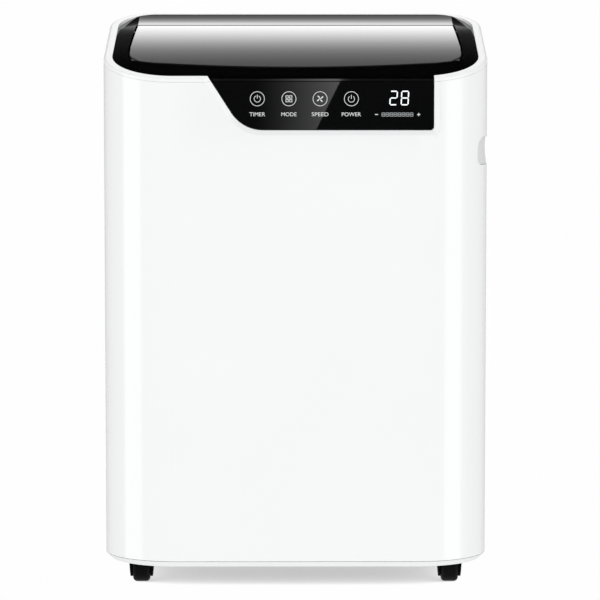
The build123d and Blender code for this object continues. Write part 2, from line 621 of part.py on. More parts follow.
def make_coil(name, y, depth):
    tubes = serpentine(y, COIL_Z, COIL_PASSES, COIL_PITCH, COIL_HALF, COIL_R)
    height = COIL_PITCH * (COIL_PASSES - 1)
    fins = block((-COIL_HALF + 4, COIL_HALF - 4), (y - depth / 2, y + depth / 2), (COIL_Z - 10, COIL_Z + height + 10))
    for i in range(COIL_PASSES):
        fins -= rod_x((-COIL_HALF, COIL_HALF), y, COIL_Z + i * COIL_PITCH, COIL_R)
    parts[f"{name}_coil"] = [tubes, fins]


def make_compressor():
    x, y, r = -72.0, -38.0, 50.0
    ax, ay = -2.0, -48.0
    can = rod_z(x, y, (42, 192), r)
    can = fillet(can.edges().filter_by(GeomType.CIRCLE), 16)
    feet = None
    for i in range(3):
        a = math.radians(90 + 120 * i)
        fx, fy = x + 44 * math.cos(a), y + 44 * math.sin(a)
        lug = rod_z(fx, fy, (38, 42), 12)
        feet = lug if feet is None else feet + lug
    plate = feet + rod_z(x, y, (38, 42), 40)
    can = can + plate
    mounts = []
    for i in range(3):
        a = math.radians(90 + 120 * i)
        fx, fy = x + 44 * math.cos(a), y + 44 * math.sin(a)
        can -= rod_z(fx, fy, (36, 52), 3.0)
        mounts.append(rod_z(fx, fy, (SHELL_Z - FIT, 38), 8) - rod_z(fx, fy, (0, 60), 3.0))
    parts["compressor"] = can
    parts["compressor_mounts"] = mounts
    parts["accumulator"] = fillet(rod_z(ax, ay, (70, 170), 17).edges().filter_by(GeomType.CIRCLE), 8)
    end, top, low = -COIL_HALF - 0.2, COIL_Z + COIL_PITCH * (COIL_PASSES - 1), COIL_Z
    hot = [(x, y, 192.2), (x, y, 222), (HOT_X, y, 222), (HOT_X, y, top), (HOT_X, CONDENSER_Y, top), (end, CONDENSER_Y, top)]
    cold = [(end, EVAPORATOR_Y, top), (COLD_X, EVAPORATOR_Y, top), (COLD_X, EVAPORATOR_Y, 238), (COLD_X, ay, 238),
            (ax, ay, 238), (ax, ay, 170.2)]
    fine = [(end, CONDENSER_Y, low), (-136, CONDENSER_Y, low), (-136, EVAPORATOR_Y, low), (end, EVAPORATOR_Y, low)]
    parts["refrigerant_pipes"] = [tube(hot, 10, 3.0, 2.2), tube(cold, 11, 4.0, 3.0), tube(fine, 6, 1.4)]


def make_electrics():
    box = block((44, 138), (-84, 6), (60, 186)) - block((46.5, 135.5), (-81.5, 3.5), (62.5, 190))
    for x in (60, 104):
        box += block((x - 5, x + 5), (-60, -20), (SHELL_Z - FIT, 60))
    parts["control_box"] = box
    parts["control_box_lid"] = block((44, 138), (-84, 6), (186.2, 188.7)) + block(
        (46.8, 135.2), (-81.2, 3.2), (183, 186.2))
    parts["power_board"] = block((52, 130), (-79, -77.4), (66, 176))
    parts["run_capacitor"] = rod_z(24, -12, (SHELL_Z - FIT, 118), 17)


# ---------------------------------------------------------------- frame inside the casing
BAY_X = 130.0
BAY_TOP = 250.0
BAY_FLOOR = POCKET_ROOF + 3.0
TRAY_SPOUT = (0.0, 50.0)


def make_inner_frame():
    bay = block((-BAY_X - 2, BAY_X + 2), (18, BACK_Y - 6), (BAY_FLOOR, BAY_TOP))
    bay -= block((-BAY_X, BAY_X), (20, WIDE), (BAY_FLOOR + 2, BAY_TOP - 2))
    bay -= rod_z(*TRAY_SPOUT, (BAY_TOP - 5, HIGH), 9)
    parts["tank_bay"] = bay
    deck = prism(WALL + 3, BAY_TOP, BAY_TOP + 3) & block((-WIDE, WIDE), (-WIDE, 88), (0, HIGH))
    deck -= rod_z(HOT_X, -38, (0, HIGH), 6) + rod_z(COLD_X, EVAPORATOR_Y, (0, HIGH), 7)
    deck -= rod_z(*TRAY_SPOUT, (0, HIGH), 9)
    parts["mid_deck"] = deck
    tray = block((-124, 124), (35, 86), (BAY_TOP + 3, 270)) - block((-122, 122), (37, 84), (BAY_TOP + 5, 271))
    tray += rod_z(*TRAY_SPOUT, (BAY_TOP - 4, BAY_TOP + 5), 7)
    tray -= rod_z(*TRAY_SPOUT, (0, HIGH), 5) + rod_x((120, 126), 60, DRAIN[1], 3.0)
    parts["drip_tray"] = tray
    hose = [(124.2, 60, DRAIN[1]), (DRAIN[0], 60, DRAIN[1]), (DRAIN[0], BACK_Y - 16.2, DRAIN[1])]
    parts["drain_hose"] = tube(hose, 8, 4.2, 3.0)
    switch = block((-12, 12), (20.2, 26), (200, 212))
    parts["float_switch"] = switch


# ---------------------------------------------------------------- tank
TANK_TOP = 188.0
TANK_WALL = 2.2
BAIL_Y = 40.0
BAIL_Z = 197.5
BAIL_X = 122.0
FLOAT_Y = 58.0


def make_tank():
    x, y, z = (-126.0, 126.0), (TANK_Y, BACK_Y - 5.4), (BAY_FLOOR + 2.8, TANK_TOP)
    outer = fillet(block(x, y, z).edges().filter_by(Axis.Z), 10)
    outer = fillet(outer.faces().sort_by(Axis.Z)[0].edges(), 6)
    w = TANK_WALL
    inner = block((x[0] + w, x[1] - w), (y[0] + w, y[1] - w), (z[0] + w, z[1] + 1))
    inner = fillet(inner.edges().filter_by(Axis.Z), 10 - w)
    inner = fillet(inner.faces().sort_by(Axis.Z)[0].edges(), 4)
    tank = outer - inner
    parts["water_tank"] = tank

    lid = fillet(block((x[0] + 0.5, x[1] - 0.5), (y[0] + 0.5, y[1] - 0.5), (TANK_TOP + 0.2, TANK_TOP + 3.2)
                       ).edges().filter_by(Axis.Z), 9)
    lid += block((x[0] + w + 8, x[1] - w - 8), (y[0] + w + 4, y[1] - w - 4), (TANK_TOP - 4, TANK_TOP + 0.2)) - block(
        (x[0] + w + 10, x[1] - w - 10), (y[0] + w + 6, y[1] - w - 6), (TANK_TOP - 5, TANK_TOP + 0.2))
    lid -= rod_z(0, 50, (0, HIGH), 13)
    lid -= fillet(block((70, 104), (44, 80), (TANK_TOP - 9, TANK_TOP + 9)).edges().filter_by(Axis.Z), 6)
    for side in (-1, 1):
        post = block((-2, 2), (BAIL_Y - 5, BAIL_Y + 5), (TANK_TOP + 3.2, BAIL_Z + 4))
        post -= rod_x((-9, 9), BAIL_Y, BAIL_Z, 2.0 + RUN)
        lid += Pos(side * (BAIL_X - 5.5), 0, 0) * post
    parts["tank_lid"] = lid

    face = rounded((-TANK_HALF, TANK_HALF), TANK_Z, 10)
    plate = extrude(facing_back(BACK_Y - 5.2) * face, amount=5.2)
    pull = extrude(facing_back(BACK_Y - 3.6) * rounded((-46, 46), (168, 194), 10), amount=6)
    window = extrude(facing_back(BACK_Y - 9) * rounded((-92, -80), (60, 170), 5.9), amount=12)
    parts["tank_face"] = plate - pull - window
    parts["level_window"] = extrude(facing_back(BACK_Y - 4.2) * rounded((-91.8, -80.2), (60.2, 169.8), 5.7), amount=3.2)
    bar = 3.0
    arm = block((BAIL_X - bar, BAIL_X + bar - 2), (BAIL_Y - 5, BAIL_Y + 45), (BAIL_Z - 3, BAIL_Z + 3))
    cross = block((-BAIL_X + bar, BAIL_X - bar), (BAIL_Y + 35, BAIL_Y + 45), (BAIL_Z - 3, BAIL_Z + 3))
    bail = arm + mirror(arm, about=Plane.YZ) + cross
    bail = fillet(bail.edges().filter_by(Axis.Z), 1.4)
    for side in (-1, 1):
        pin = rod_x((BAIL_X - 8, BAIL_X - 1), BAIL_Y, BAIL_Z, 2.0)
        bail += pin if side > 0 else mirror(pin, about=Plane.YZ)
    parts["tank_handle"] = bail


def make_float():
    """A float on a hinged arm inside the tank, with its pivot bracket on the inner wall."""
    z = 168.0
    y0 = TANK_Y + TANK_WALL
    bracket = block((-11, -8), (y0, y0 + 12), (z - 5, z + 5)) + block((8, 11), (y0, y0 + 12), (z - 5, z + 5))
    bracket += block((-11, 11), (y0, y0 + 2), (z - 5, z + 5))
    bracket -= rod_x((-20, 20), y0 + 8, z, 1.5)
    parts["float_bracket"] = [bracket, rod_x((-11, 11), y0 + 8, z, 1.5)]
    arm = block((-3, 3), (y0 + 8, y0 + 34), (z - 2.5, z + 2.5)) + rod_x((-7.5, 7.5), y0 + 8, z, 4.0)
    arm += fillet(block((-17, 17), (y0 + 26, y0 + 52), (z - 14, z - 2.4)).edges().filter_by(Axis.Z), 6)
    arm -= rod_x((-20, 20), y0 + 8, z, 1.5 + RUN)
    parts["tank_float"] = arm


# ---------------------------------------------------------------- intake
def make_intake():
    y = (BACK_Y - 3.5, BACK_Y)
    plate = extrude(facing_back(y[0]) * rounded((-INTAKE_HALF, INTAKE_HALF), INTAKE_Z, 8), amount=3.5)
    pitch, gap = 7.6, 4.6
    rows = int((INTAKE_Z[1] - INTAKE_Z[0] - 22) / pitch)
    first = (INTAKE_Z[0] + INTAKE_Z[1]) / 2 - pitch * (rows - 1) / 2
    slots = []
    for i in range(rows):
        z = first + pitch * i
        for x in (-77.0, 0.0, 77.0):
            slots.append(block((x - 35.5, x + 35.5), (y[0] - 1, y[1] + 1), (z - gap / 2, z + gap / 2)))
    plate -= slots
    rim = (INTAKE_HALF - 3.2, INTAKE_Z[0] + 3.2, INTAKE_Z[1] - 3.2)
    frame = block((-rim[0], rim[0]), (y[0] - 1.8, y[0]), (rim[1], rim[2])) - block(
        (-rim[0] + 2, rim[0] - 2), (y[0] - 5, y[0] + 1), (rim[1] + 2, rim[2] - 2))
    parts["intake_grille"] = plate + frame
    fx, fz, fy = rim[0] - 2.4, (rim[1] + 2.4, rim[2] - 2.4), (y[0] - 2.6, y[0] - 0.2)
    outline = block((-fx, fx), fy, fz)
    cells = []
    cols, tiers = 4, 3
    cell_w, cell_h = (2 * fx - 5) / cols, (fz[1] - fz[0] - 5) / tiers
    for i in range(cols):
        for j in range(tiers):
            cx, cz = -fx + 2.5 + cell_w * (i + 0.5), fz[0] + 2.5 + cell_h * (j + 0.5)
            cells.append(block((cx - cell_w / 2 + 1.5, cx + cell_w / 2 - 1.5), (fy[0] - 1, fy[1] + 1),
                               (cz - cell_h / 2 + 1.5, cz + cell_h / 2 - 1.5)))
    parts["filter_frame"] = outline - cells
    parts["filter_mesh"] = block((-fx + 1, fx - 1), (fy[0] - 0.9, fy[0] - 0.1), (fz[0] + 1, fz[1] - 1))


# ---------------------------------------------------------------- small fittings
def make_fittings():
    screws = []
    for x, z in CASE_SCREWS:
        shank = rod_y(x, (BACK_Y - 13, BACK_Y - SCREW_HEAD_T), z, SCREW_R)
        head = rod_y(x, (BACK_Y - SCREW_HEAD_T - 0.6, BACK_Y - 0.6), z, SCREW_HEAD_R)
        slot = block((x - 2.2, x + 2.2), (BACK_Y - 1.7, BACK_Y), (z - 0.5, z + 0.5))
        cross = block((x - 0.5, x + 0.5), (BACK_Y - 1.7, BACK_Y), (z - 2.2, z + 2.2))
        screws.append((shank + head) - slot - cross)
    for x, y in BASE_SCREWS:
        shank = rod_z(x, y, (FLOOR_GAP + SCREW_HEAD_T, SHELL_Z - FIT), SCREW_R)
        head = rod_z(x, y, (FLOOR_GAP + 0.6, FLOOR_GAP + SCREW_HEAD_T + 0.6), SCREW_HEAD_R)
        slot = block((x - 2.2, x + 2.2), (y - 0.5, y + 0.5), (FLOOR_GAP, FLOOR_GAP + 1.7))
        screws.append((shank + head) - slot)
    parts["casing_screws"] = screws

    dx, dz = DRAIN
    spout = rod_y(dx, (BACK_Y - 16, BACK_Y), dz, DRAIN_R + 2) + rod_y(dx, (BACK_Y - 13, BACK_Y - 10), dz, DRAIN_R + 4)
    spout -= rod_y(dx, (BACK_Y - 30, BACK_Y + 1), dz, DRAIN_R)
    parts["drain_spout"] = spout & casing(0.3, 0, 0)
    plug = rod_y(dx, (BACK_Y - 12, BACK_Y), dz, DRAIN_R - RUN)
    plug -= rod_y(dx, (BACK_Y - 5, BACK_Y), dz, 4.2) - block((dx - 1.2, dx + 1.2), (0, BACK_Y), (dz - 9, dz + 9))
    parts["drain_plug"] = plug & casing(1.2, 0, 0)

    gx, gz = GLAND
    gland = rod_y(gx, (BACK_Y - 18, BACK_Y), gz, GLAND_R) + rod_y(gx, (BACK_Y - 14, BACK_Y - 10.5), gz, GLAND_R + 1.6)
    gland -= rod_y(gx, (BACK_Y - 30, BACK_Y + 1), gz, 3.6)
    parts["cord_gland"] = gland & casing(0.3, 0, 0)


# ---------------------------------------------------------------- build and export
def make_all():
    make_base()
    make_castor_sockets()
    for name, (x, y) in CASTORS.items():
        make_castor(name, x, y)
    make_shells()
    make_collar()
    make_grips()
    make_bezel()
    make_flap()
    make_outlet()
    make_controls()
    make_fan()
    make_coil("evaporator", EVAPORATOR_Y, COIL_DEPTH)
    make_coil("condenser", CONDENSER_Y, COIL_DEPTH)
    make_compressor()
    make_electrics()
    make_inner_frame()
    make_tank()
    make_float()
    make_intake()
    make_fittings()


def export_all():
    os.makedirs("parts", exist_ok=True)
    for name, shape in parts.items():
        if isinstance(shape, list):
            shape = Compound(children=[s for s in shape])
        export_step(shape, f"parts/{name}.step")
        print(name, "solids", len(shape.solids()))


make_all()
export_all()
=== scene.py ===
"""Looks, lights and camera for the portable dehumidifier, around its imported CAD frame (metres)."""
import math

import bmesh
import bpy
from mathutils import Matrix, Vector


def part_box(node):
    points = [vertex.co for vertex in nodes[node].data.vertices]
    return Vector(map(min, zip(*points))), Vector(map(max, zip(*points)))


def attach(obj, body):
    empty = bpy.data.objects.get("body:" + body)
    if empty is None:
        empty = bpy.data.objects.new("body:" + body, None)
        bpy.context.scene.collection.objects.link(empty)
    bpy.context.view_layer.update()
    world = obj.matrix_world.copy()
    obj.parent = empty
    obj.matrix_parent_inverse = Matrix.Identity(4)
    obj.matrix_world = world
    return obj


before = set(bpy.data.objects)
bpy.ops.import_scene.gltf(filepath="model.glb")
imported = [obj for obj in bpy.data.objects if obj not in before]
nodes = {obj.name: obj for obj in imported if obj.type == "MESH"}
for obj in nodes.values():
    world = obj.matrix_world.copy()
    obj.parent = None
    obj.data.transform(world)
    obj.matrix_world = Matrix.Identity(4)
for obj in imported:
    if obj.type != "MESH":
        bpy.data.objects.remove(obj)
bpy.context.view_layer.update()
scene = bpy.context.scene

GLASS_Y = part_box("panel_glass")[0][1]       # the touch panel's front surface
MATS = {}                                   # every procedural material by name


# ---------------------------------------------------------------- material helpers
class Shader:
    """Builds one procedural material on a Principled shader."""

    def __init__(self, name, **sockets):
        self.material = bpy.data.materials.new(name)
        self.material.use_nodes = True
        self.tree = self.material.node_tree
        self.bsdf = self.tree.nodes["Principled BSDF"]
        for key, value in sockets.items():
            label = key.replace("_", " ")
            self.bsdf.inputs[label].default_value = value
        self.coords = self.tree.nodes.new("ShaderNodeTexCoord").outputs["Object"]
        self.bumps = []
        MATS[name] = self.material

    def node(self, kind, **settings):
        made = self.tree.nodes.new("ShaderNode" + kind)
        for key, value in settings.items():
            setattr(made, key, value)
        return made

    def link(self, source, target):
        self.tree.links.new(source, target)

    def stretched(self, scale):
        mapping = self.node("Mapping")
        mapping.inputs["Scale"].default_value = scale
        self.link(self.coords, mapping.inputs["Vector"])
        return mapping.outputs["Vector"]

    def noise(self, scale, detail=3.0, rough=0.5, stretch=(1, 1, 1)):
        made = self.node("TexNoise")
        made.inputs["Scale"].default_value = scale
        made.inputs["Detail"].default_value = detail
        made.inputs["Roughness"].default_value = rough
        self.link(self.stretched(stretch), made.inputs["Vector"])
        return made.outputs["Fac"]

    def texture(self, kind, scale, **settings):
        """A pattern that fills the object's own space."""
        made = self.node(kind, **settings)
        made.inputs["Scale"].default_value = scale
        self.link(self.coords, made.inputs["Vector"])
        return made

    def spread(self, source, low, high, start=0.3, end=0.7):
        """Turns a source between start and end into a value between low and high."""
        made = self.node("MapRange")
        made.inputs["From Min"].default_value = start
        made.inputs["From Max"].default_value = end
        made.inputs["To Min"].default_value = low
        made.inputs["To Max"].default_value = high
        self.link(source, made.inputs["Value"])
        return made.outputs["Result"]

    def colours(self, source, low, high, start=0.3, end=0.7):
        """Turns a source between start and end into a colour between low and high."""
        ramp = self.node("ValToRGB")
        ramp.color_ramp.elements[0].position = start
        ramp.color_ramp.elements[1].position = end
        ramp.color_ramp.elements[0].color = (*low, 1)
        ramp.color_ramp.elements[1].color = (*high, 1)
        self.link(source, ramp.inputs["Fac"])
        return ramp.outputs["Color"]

    def bump(self, height, strength, distance):
        """Adds relief on top of any relief that is there already."""
        made = self.node("Bump")
        made.inputs["Strength"].default_value = strength
        made.inputs["Distance"].default_value = distance
        self.link(height, made.inputs["Height"])
        if self.bumps:
            self.link(self.bumps[-1], made.inputs["Normal"])
        self.bumps.append(made.outputs["Normal"])
        self.link(made.outputs["Normal"], self.bsdf.inputs["Normal"])

    def colour(self, source):
        self.link(source, self.bsdf.inputs["Base Color"])

    def rough(self, source):
        self.link(source, self.bsdf.inputs["Roughness"])


def scaled(colour, factor):
    return tuple(min(1.0, c * factor) for c in colour)


def moulded(name, colour, rough, grain, relief, tone, **sockets):
    """Injection-moulded plastic: a faint drift of tone, and fine grain in its gloss and relief."""
    made = Shader(name, **sockets)
    drift = made.noise(9.0, 2.0)
    made.colour(made.colours(drift, scaled(colour, 1 - tone), scaled(colour, 1 + tone)))
    fine = made.noise(grain, 3.0, 0.6)
    made.rough(made.spread(fine, rough * 0.85, rough * 1.15))
    made.bump(fine, relief, 0.0002)
    return made


# ---------------------------------------------------------------- materials
WHITE = (0.872, 0.876, 0.879)


def make_white_plastics():
    shell = moulded("white_shell", WHITE, 0.1, grain=1400.0, relief=0.012, tone=0.004, Specular_IOR_Level=0.5)
    shell.bump(shell.noise(16.0, 1.0), 0.02, 0.0004)
    moulded("white_trim", WHITE, 0.2, grain=1400.0, relief=0.012, tone=0.004)
    # the side grips get a darker grey of the white: painted shade for their recesses
    moulded("grip_painted_shade", scaled(WHITE, 0.78), 0.4, grain=1200.0, relief=0.05, tone=0.01)
    moulded("white_base", scaled(WHITE, 0.97), 0.34, grain=1200.0, relief=0.05, tone=0.01)
    moulded("white_grille", scaled(WHITE, 0.97), 0.36, grain=1500.0, relief=0.06, tone=0.01)


def make_inner_plastics():
    moulded("grey_inner", (0.42, 0.43, 0.44), 0.5, grain=800.0, relief=0.1, tone=0.05)
    moulded("white_inner", (0.62, 0.63, 0.63), 0.45, grain=800.0, relief=0.08, tone=0.03)
    moulded("black_matte", (0.012, 0.012, 0.013), 0.42, grain=1100.0, relief=0.12, tone=0.2)


def make_top_blacks():
    """The gloss frame, the smoked flap and the touch panel's glass."""
    gloss = moulded("bezel_black", (0.0006, 0.0006, 0.0007), 0.06, grain=1500.0, relief=0.006, tone=0.25,
                    Coat_Weight=0.6)
    gloss.bump(gloss.noise(14.0, 1.0), 0.015, 0.0003)
    smoke = moulded("flap_smoke", (0.010, 0.0104, 0.011), 0.1, grain=1500.0, relief=0.006, tone=0.12,
                    Coat_Weight=1.0, Coat_Roughness=0.05)
    smoke.bump(smoke.noise(10.0, 1.0), 0.012, 0.0003)
    moulded("panel_black", (0.0022, 0.0023, 0.0025), 0.012, grain=600.0, relief=0.002, tone=0.3)


def make_inks():
    """White ink for the keys, and the lit and dim parts of the display."""
    moulded("print_white", (0.72, 0.74, 0.75), 0.5, grain=2500.0, relief=0.05, tone=0.04)
    for name, colour, power in (("display_lit", (0.85, 0.9, 0.92), 0.3),
                                ("display_dim", (0.3, 0.32, 0.33), 0.05)):
        lit = moulded(name, colour, 0.4, grain=2500.0, relief=0.02, tone=0.04, Emission_Strength=power)
        glow = lit.colours(lit.noise(400.0), scaled(colour, 0.92), colour)
        lit.link(glow, lit.bsdf.inputs["Emission Color"])


def make_castor_plastics():
    moulded("castor_black", (0.001, 0.001, 0.0011), 0.5, grain=900.0, relief=0.1, tone=0.3,
            Specular_IOR_Level=0.03)
    wheel = moulded("wheel_nylon", (0.0016, 0.0016, 0.0018), 0.42, grain=700.0, relief=0.12, tone=0.3,
                    Specular_IOR_Level=0.06)
    wheel.bump(wheel.noise(160.0, 4.0), 0.15, 0.0003)


def make_tank_plastics():
    moulded("tank_frosted", (0.62, 0.72, 0.8), 0.28, grain=700.0, relief=0.05, tone=0.02,
            Transmission_Weight=0.35, IOR=1.45)
    moulded("window_clear", (0.5, 0.6, 0.68), 0.12, grain=700.0, relief=0.02, tone=0.03,
            Transmission_Weight=0.5, IOR=1.45)


def make_zinc():
    zinc = Shader("zinc_sheet", Metallic=1.0)
    spangle = zinc.texture("TexVoronoi", 120.0)
    zinc.colour(zinc.colours(spangle.outputs["Distance"], (0.5, 0.52, 0.53), (0.68, 0.7, 0.71), 0.0, 0.8))
    zinc.rough(zinc.spread(zinc.noise(300.0), 0.28, 0.42))


def make_enamel():
    enamel = moulded("black_enamel", (0.014, 0.014, 0.015), 0.3, grain=500.0, relief=0.08, tone=0.2,
                     Coat_Weight=0.3)
    enamel.bump(enamel.noise(60.0), 0.1, 0.0006)


def make_copper():
    copper = Shader("drawn_copper", Metallic=1.0)
    tarnish = copper.noise(45.0, 5.0, 0.6)
    copper.colour(copper.colours(tarnish, (0.42, 0.2, 0.11), (0.78, 0.42, 0.27)))
    copper.rough(copper.spread(tarnish, 0.42, 0.2))
    copper.bump(copper.noise(500.0), 0.05, 0.0002)


def make_fins():
    """A stack of thin aluminium fins, with painted shade in the gaps between them."""
    fins = Shader("fin_pack", Metallic=1.0)
    wave = fins.texture("TexWave", 190.0, wave_type="BANDS", bands_direction="X", wave_profile="SIN")
    blades = wave.outputs["Fac"]
    # the dark bands are painted shade in the gaps between the fins
    fins.colour(fins.colours(blades, (0.09, 0.1, 0.1), (0.72, 0.74, 0.75), 0.25, 0.75))
    fins.rough(fins.spread(fins.noise(200.0), 0.3, 0.5))
    fins.bump(blades, 0.6, 0.0008)


def make_steel():
    steel = Shader("plated_steel", Metallic=1.0)
    steel.colour(steel.colours(steel.noise(180.0), (0.5, 0.5, 0.49), (0.66, 0.65, 0.63)))
    steel.rough(steel.spread(steel.noise(900.0, 2.0, 0.5, (1, 1, 12)), 0.22, 0.38))


def make_rubber():
    moulded("moulded_rubber", (0.016, 0.016, 0.016), 0.72, grain=500.0, relief=0.25, tone=0.3)


def make_filter_net():
    """Crossed threads, with painted shade in the openings between them."""
    net = Shader("filter_net", Roughness=0.8)
    both = net.node("Math", operation="MAXIMUM")
    for direction, socket in zip(("X", "Z"), both.inputs):
        threads = net.texture("TexWave", 260.0, wave_type="BANDS", bands_direction=direction)
        net.link(threads.outputs["Fac"], socket)
    # the near black between the threads is painted shade seen through the openings
    net.colour(net.colours(both.outputs["Value"], (0.01, 0.011, 0.012), (0.13, 0.14, 0.15), 0.55, 0.9))
    net.bump(both.outputs["Value"], 0.6, 0.0006)


def make_circuit_board():
    """Green lacquer with pale solder pads."""
    board = Shader("circuit_board")
    pads = board.texture("TexVoronoi", 170.0, feature="F1", distance="CHEBYCHEV")
    board.colour(board.colours(pads.outputs["Distance"], (0.5, 0.5, 0.42), (0.01, 0.12, 0.06), 0.1, 0.2))
    board.rough(board.spread(board.noise(300.0), 0.3, 0.45))


NODE_MATERIALS = {
    "white_shell": ["front_shell", "rear_shell", "tank_face"],
    "white_trim": ["top_collar", "drain_spout", "drain_plug"],
    # the side grips carry painted shade for their recesses
    "grip_painted_shade": ["side_grips"],
    "white_base": ["base_pan"],
    "white_grille": ["intake_grille"],
    "bezel_black": ["top_bezel"],
    "flap_smoke": ["outlet_flap"],
    "panel_black": ["panel_glass"],
    "black_matte": ["outlet_guard", "flap_stepper", "panel_carrier", "cord_gland", "float_switch",
                    "outlet_duct", "flap_bushes"],
    "castor_black": ["castor_sockets", "castor_fork_front_left", "castor_fork_front_right",
                     "castor_fork_rear_left", "castor_fork_rear_right"],
    "grey_inner": ["drip_tray", "tank_bay", "mid_deck", "filter_frame", "tank_handle", "humidity_sensor"],
    "white_inner": ["fan_scroll_front", "fan_scroll_rear", "fan_impeller", "control_box", "control_box_lid",
                    "tank_float", "float_bracket"],
    "tank_frosted": ["water_tank", "tank_lid"],
    "window_clear": ["level_window"],
    "zinc_sheet": ["fan_motor", "accumulator", "run_capacitor"],
    "black_enamel": ["compressor"],
    "drawn_copper": ["refrigerant_pipes"],
    "fin_pack": ["evaporator_coil", "condenser_coil"],
    "plated_steel": ["fan_shaft", "fan_nut", "casing_screws", "flap_pins"],
    "moulded_rubber": ["compressor_mounts", "drain_hose"],
    "filter_net": ["filter_mesh"],
    "circuit_board": ["display_board", "power_board"],
    "wheel_nylon": ["castor_wheel_front_left", "castor_wheel_front_right", "castor_wheel_rear_left",
                    "castor_wheel_rear_right"],
}


def make_materials():
    make_white_plastics()
    make_inner_plastics()
    make_top_blacks()
    make_inks()
    make_castor_plastics()
    make_tank_plastics()
    make_zinc()
    make_enamel()
    make_copper()
    make_fins()
    make_steel()
    make_rubber()
    make_filter_net()
    make_circuit_board()


def dress_nodes():
    """Gives each CAD node its material; the meshes stay as they are."""
    for material, members in NODE_MATERIALS.items():
        for member in members:
            slots = nodes[member].data.materials
            slots.clear()
            slots.append(MATS[material])


# ---------------------------------------------------------------- print on the glass
PRINT_T = 0.00012                       # thickness of the ink
PRINT_BACK = GLASS_Y + 0.00001          # just inside the glass, so that no gap shows
LINE = 0.0005                           # width of a symbol's thin lines


def plate(bm, outline):
    """A thin raised shape on the glass from (x, z) points, anticlockwise seen from the front."""
    back = [bm.verts.new((x, PRINT_BACK, z)) for x, z in outline]
    front = [bm.verts.new((x, PRINT_BACK - PRINT_T, z)) for x, z in outline]
    bm.faces.new(front)
    bm.faces.new(back[::-1])
    count = len(outline)
    for i in range(count):
        j = (i + 1) % count
        bm.faces.new((front[j], front[i], back[i], back[j]))


def arc_points(bm, centre, radius, depth, angles):
    x, z = centre
    return [bm.verts.new((x + radius * math.cos(a), depth, z + radius * math.sin(a))) for a in angles]


def band(bm, centre, outer, inner, start=0.0, end=360.0, steps=64):
    """An arc of even width, or a whole ring when it spans 360 degrees."""
    whole = end - start >= 360.0
    count = steps if whole else steps + 1
    angles = [math.radians(start + (end - start) * i / steps) for i in range(count)]
    back_out, back_in, front_out, front_in = (
        arc_points(bm, centre, radius, depth, angles)
        for depth in (PRINT_BACK, PRINT_BACK - PRINT_T) for radius in (outer, inner))
    for i in range(steps):
        j = (i + 1) % count
        bm.faces.new((front_in[i], front_in[j], front_out[j], front_out[i]))
        bm.faces.new((back_out[i], back_out[j], back_in[j], back_in[i]))
        bm.faces.new((front_out[i], front_out[j], back_out[j], back_out[i]))
        bm.faces.new((back_in[i], back_in[j], front_in[j], front_in[i]))
    if not whole:
        for i in (0, steps):
            bm.faces.new((back_in[i], front_in[i], front_out[i], back_out[i]))


def stroke(bm, start, end, width):
    """A straight line of ink between two (x, z) points."""
    a, b = Vector(start), Vector(end)
    along = (b - a).normalized()
    side = Vector((-along.y, along.x)) * width / 2
    plate(bm, [tuple(a + side), tuple(a - side), tuple(b - side), tuple(b + side)])


def print_piece(name, mesh, material):
    """A printed piece that rides with the casing."""
    piece = bpy.data.objects.new(name, mesh)
    scene.collection.objects.link(piece)
    mesh.materials.append(MATS[material])
    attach(piece, "casing")


def print_drawing(name, bm, material):
    """Turns a drawing into a printed piece."""
    bmesh.ops.recalc_face_normals(bm, faces=bm.faces)
    mesh = bpy.data.meshes.new(name)
    bm.to_mesh(mesh)
    bm.free()
    print_piece(name, mesh, material)


# ---------------------------------------------------------------- key symbols
ICON_X = (-0.0345, -0.0059, 0.0223, 0.0506)
ICON_Z = 0.4496
ICON_R = 0.00665

DIAL_R = 0.0031
DIAL_HAND = LINE * 1.1

MODE_STEP = 0.00165                     # from the symbol's middle to the middle of each square, both ways
MODE_HALF = 0.00135                     # half of a square's side
MODE_HOLE = 0.0008                      # half of its opening's side

BLADES = 4
BLADE_POINTS = 13
BLADE_START = 20                        # degrees from the first blade to the x axis
BLADE_MIDDLE = 0.0021                   # from the hub's middle to the blade's
BLADE_HALF_LENGTH = 0.00135
BLADE_HALF_WIDTH = 0.00062
BLADE_SWEEP = 0.35                      # how far it leans sideways for each unit outwards
BLADE_SHIFT = 0.0002
HUB_R = (0.0006, 0.0001)


def dial_icon(bm, x, drop, arc, hand):
    """An open ring with an upright stroke in its gap."""
    band(bm, (x, ICON_Z - drop), DIAL_R, DIAL_R - LINE, *arc, steps=40)
    stroke(bm, (x, ICON_Z + hand[0]), (x, ICON_Z + hand[1]), DIAL_HAND)


def timer_icon(bm, x):
    dial_icon(bm, x, 0.0001, (115, 425), (0.0003, 0.0037))


def power_icon(bm, x):
    dial_icon(bm, x, 0.0002, (125, 415), (0.0, 0.0036))


def mode_icon(bm, x):
    """Four hollow squares."""
    rim = (MODE_HALF + MODE_HOLE) / 2
    width = MODE_HALF - MODE_HOLE
    for dx in (-MODE_STEP, MODE_STEP):
        for dz in (-MODE_STEP, MODE_STEP):
            cx, cz = x + dx, ICON_Z + dz
            for side in (rim, -rim):
                stroke(bm, (cx + side, cz - MODE_HALF), (cx + side, cz + MODE_HALF), width)
            for side in (rim, -rim):
                stroke(bm, (cx - MODE_HOLE, cz + side), (cx + MODE_HOLE, cz + side), width)


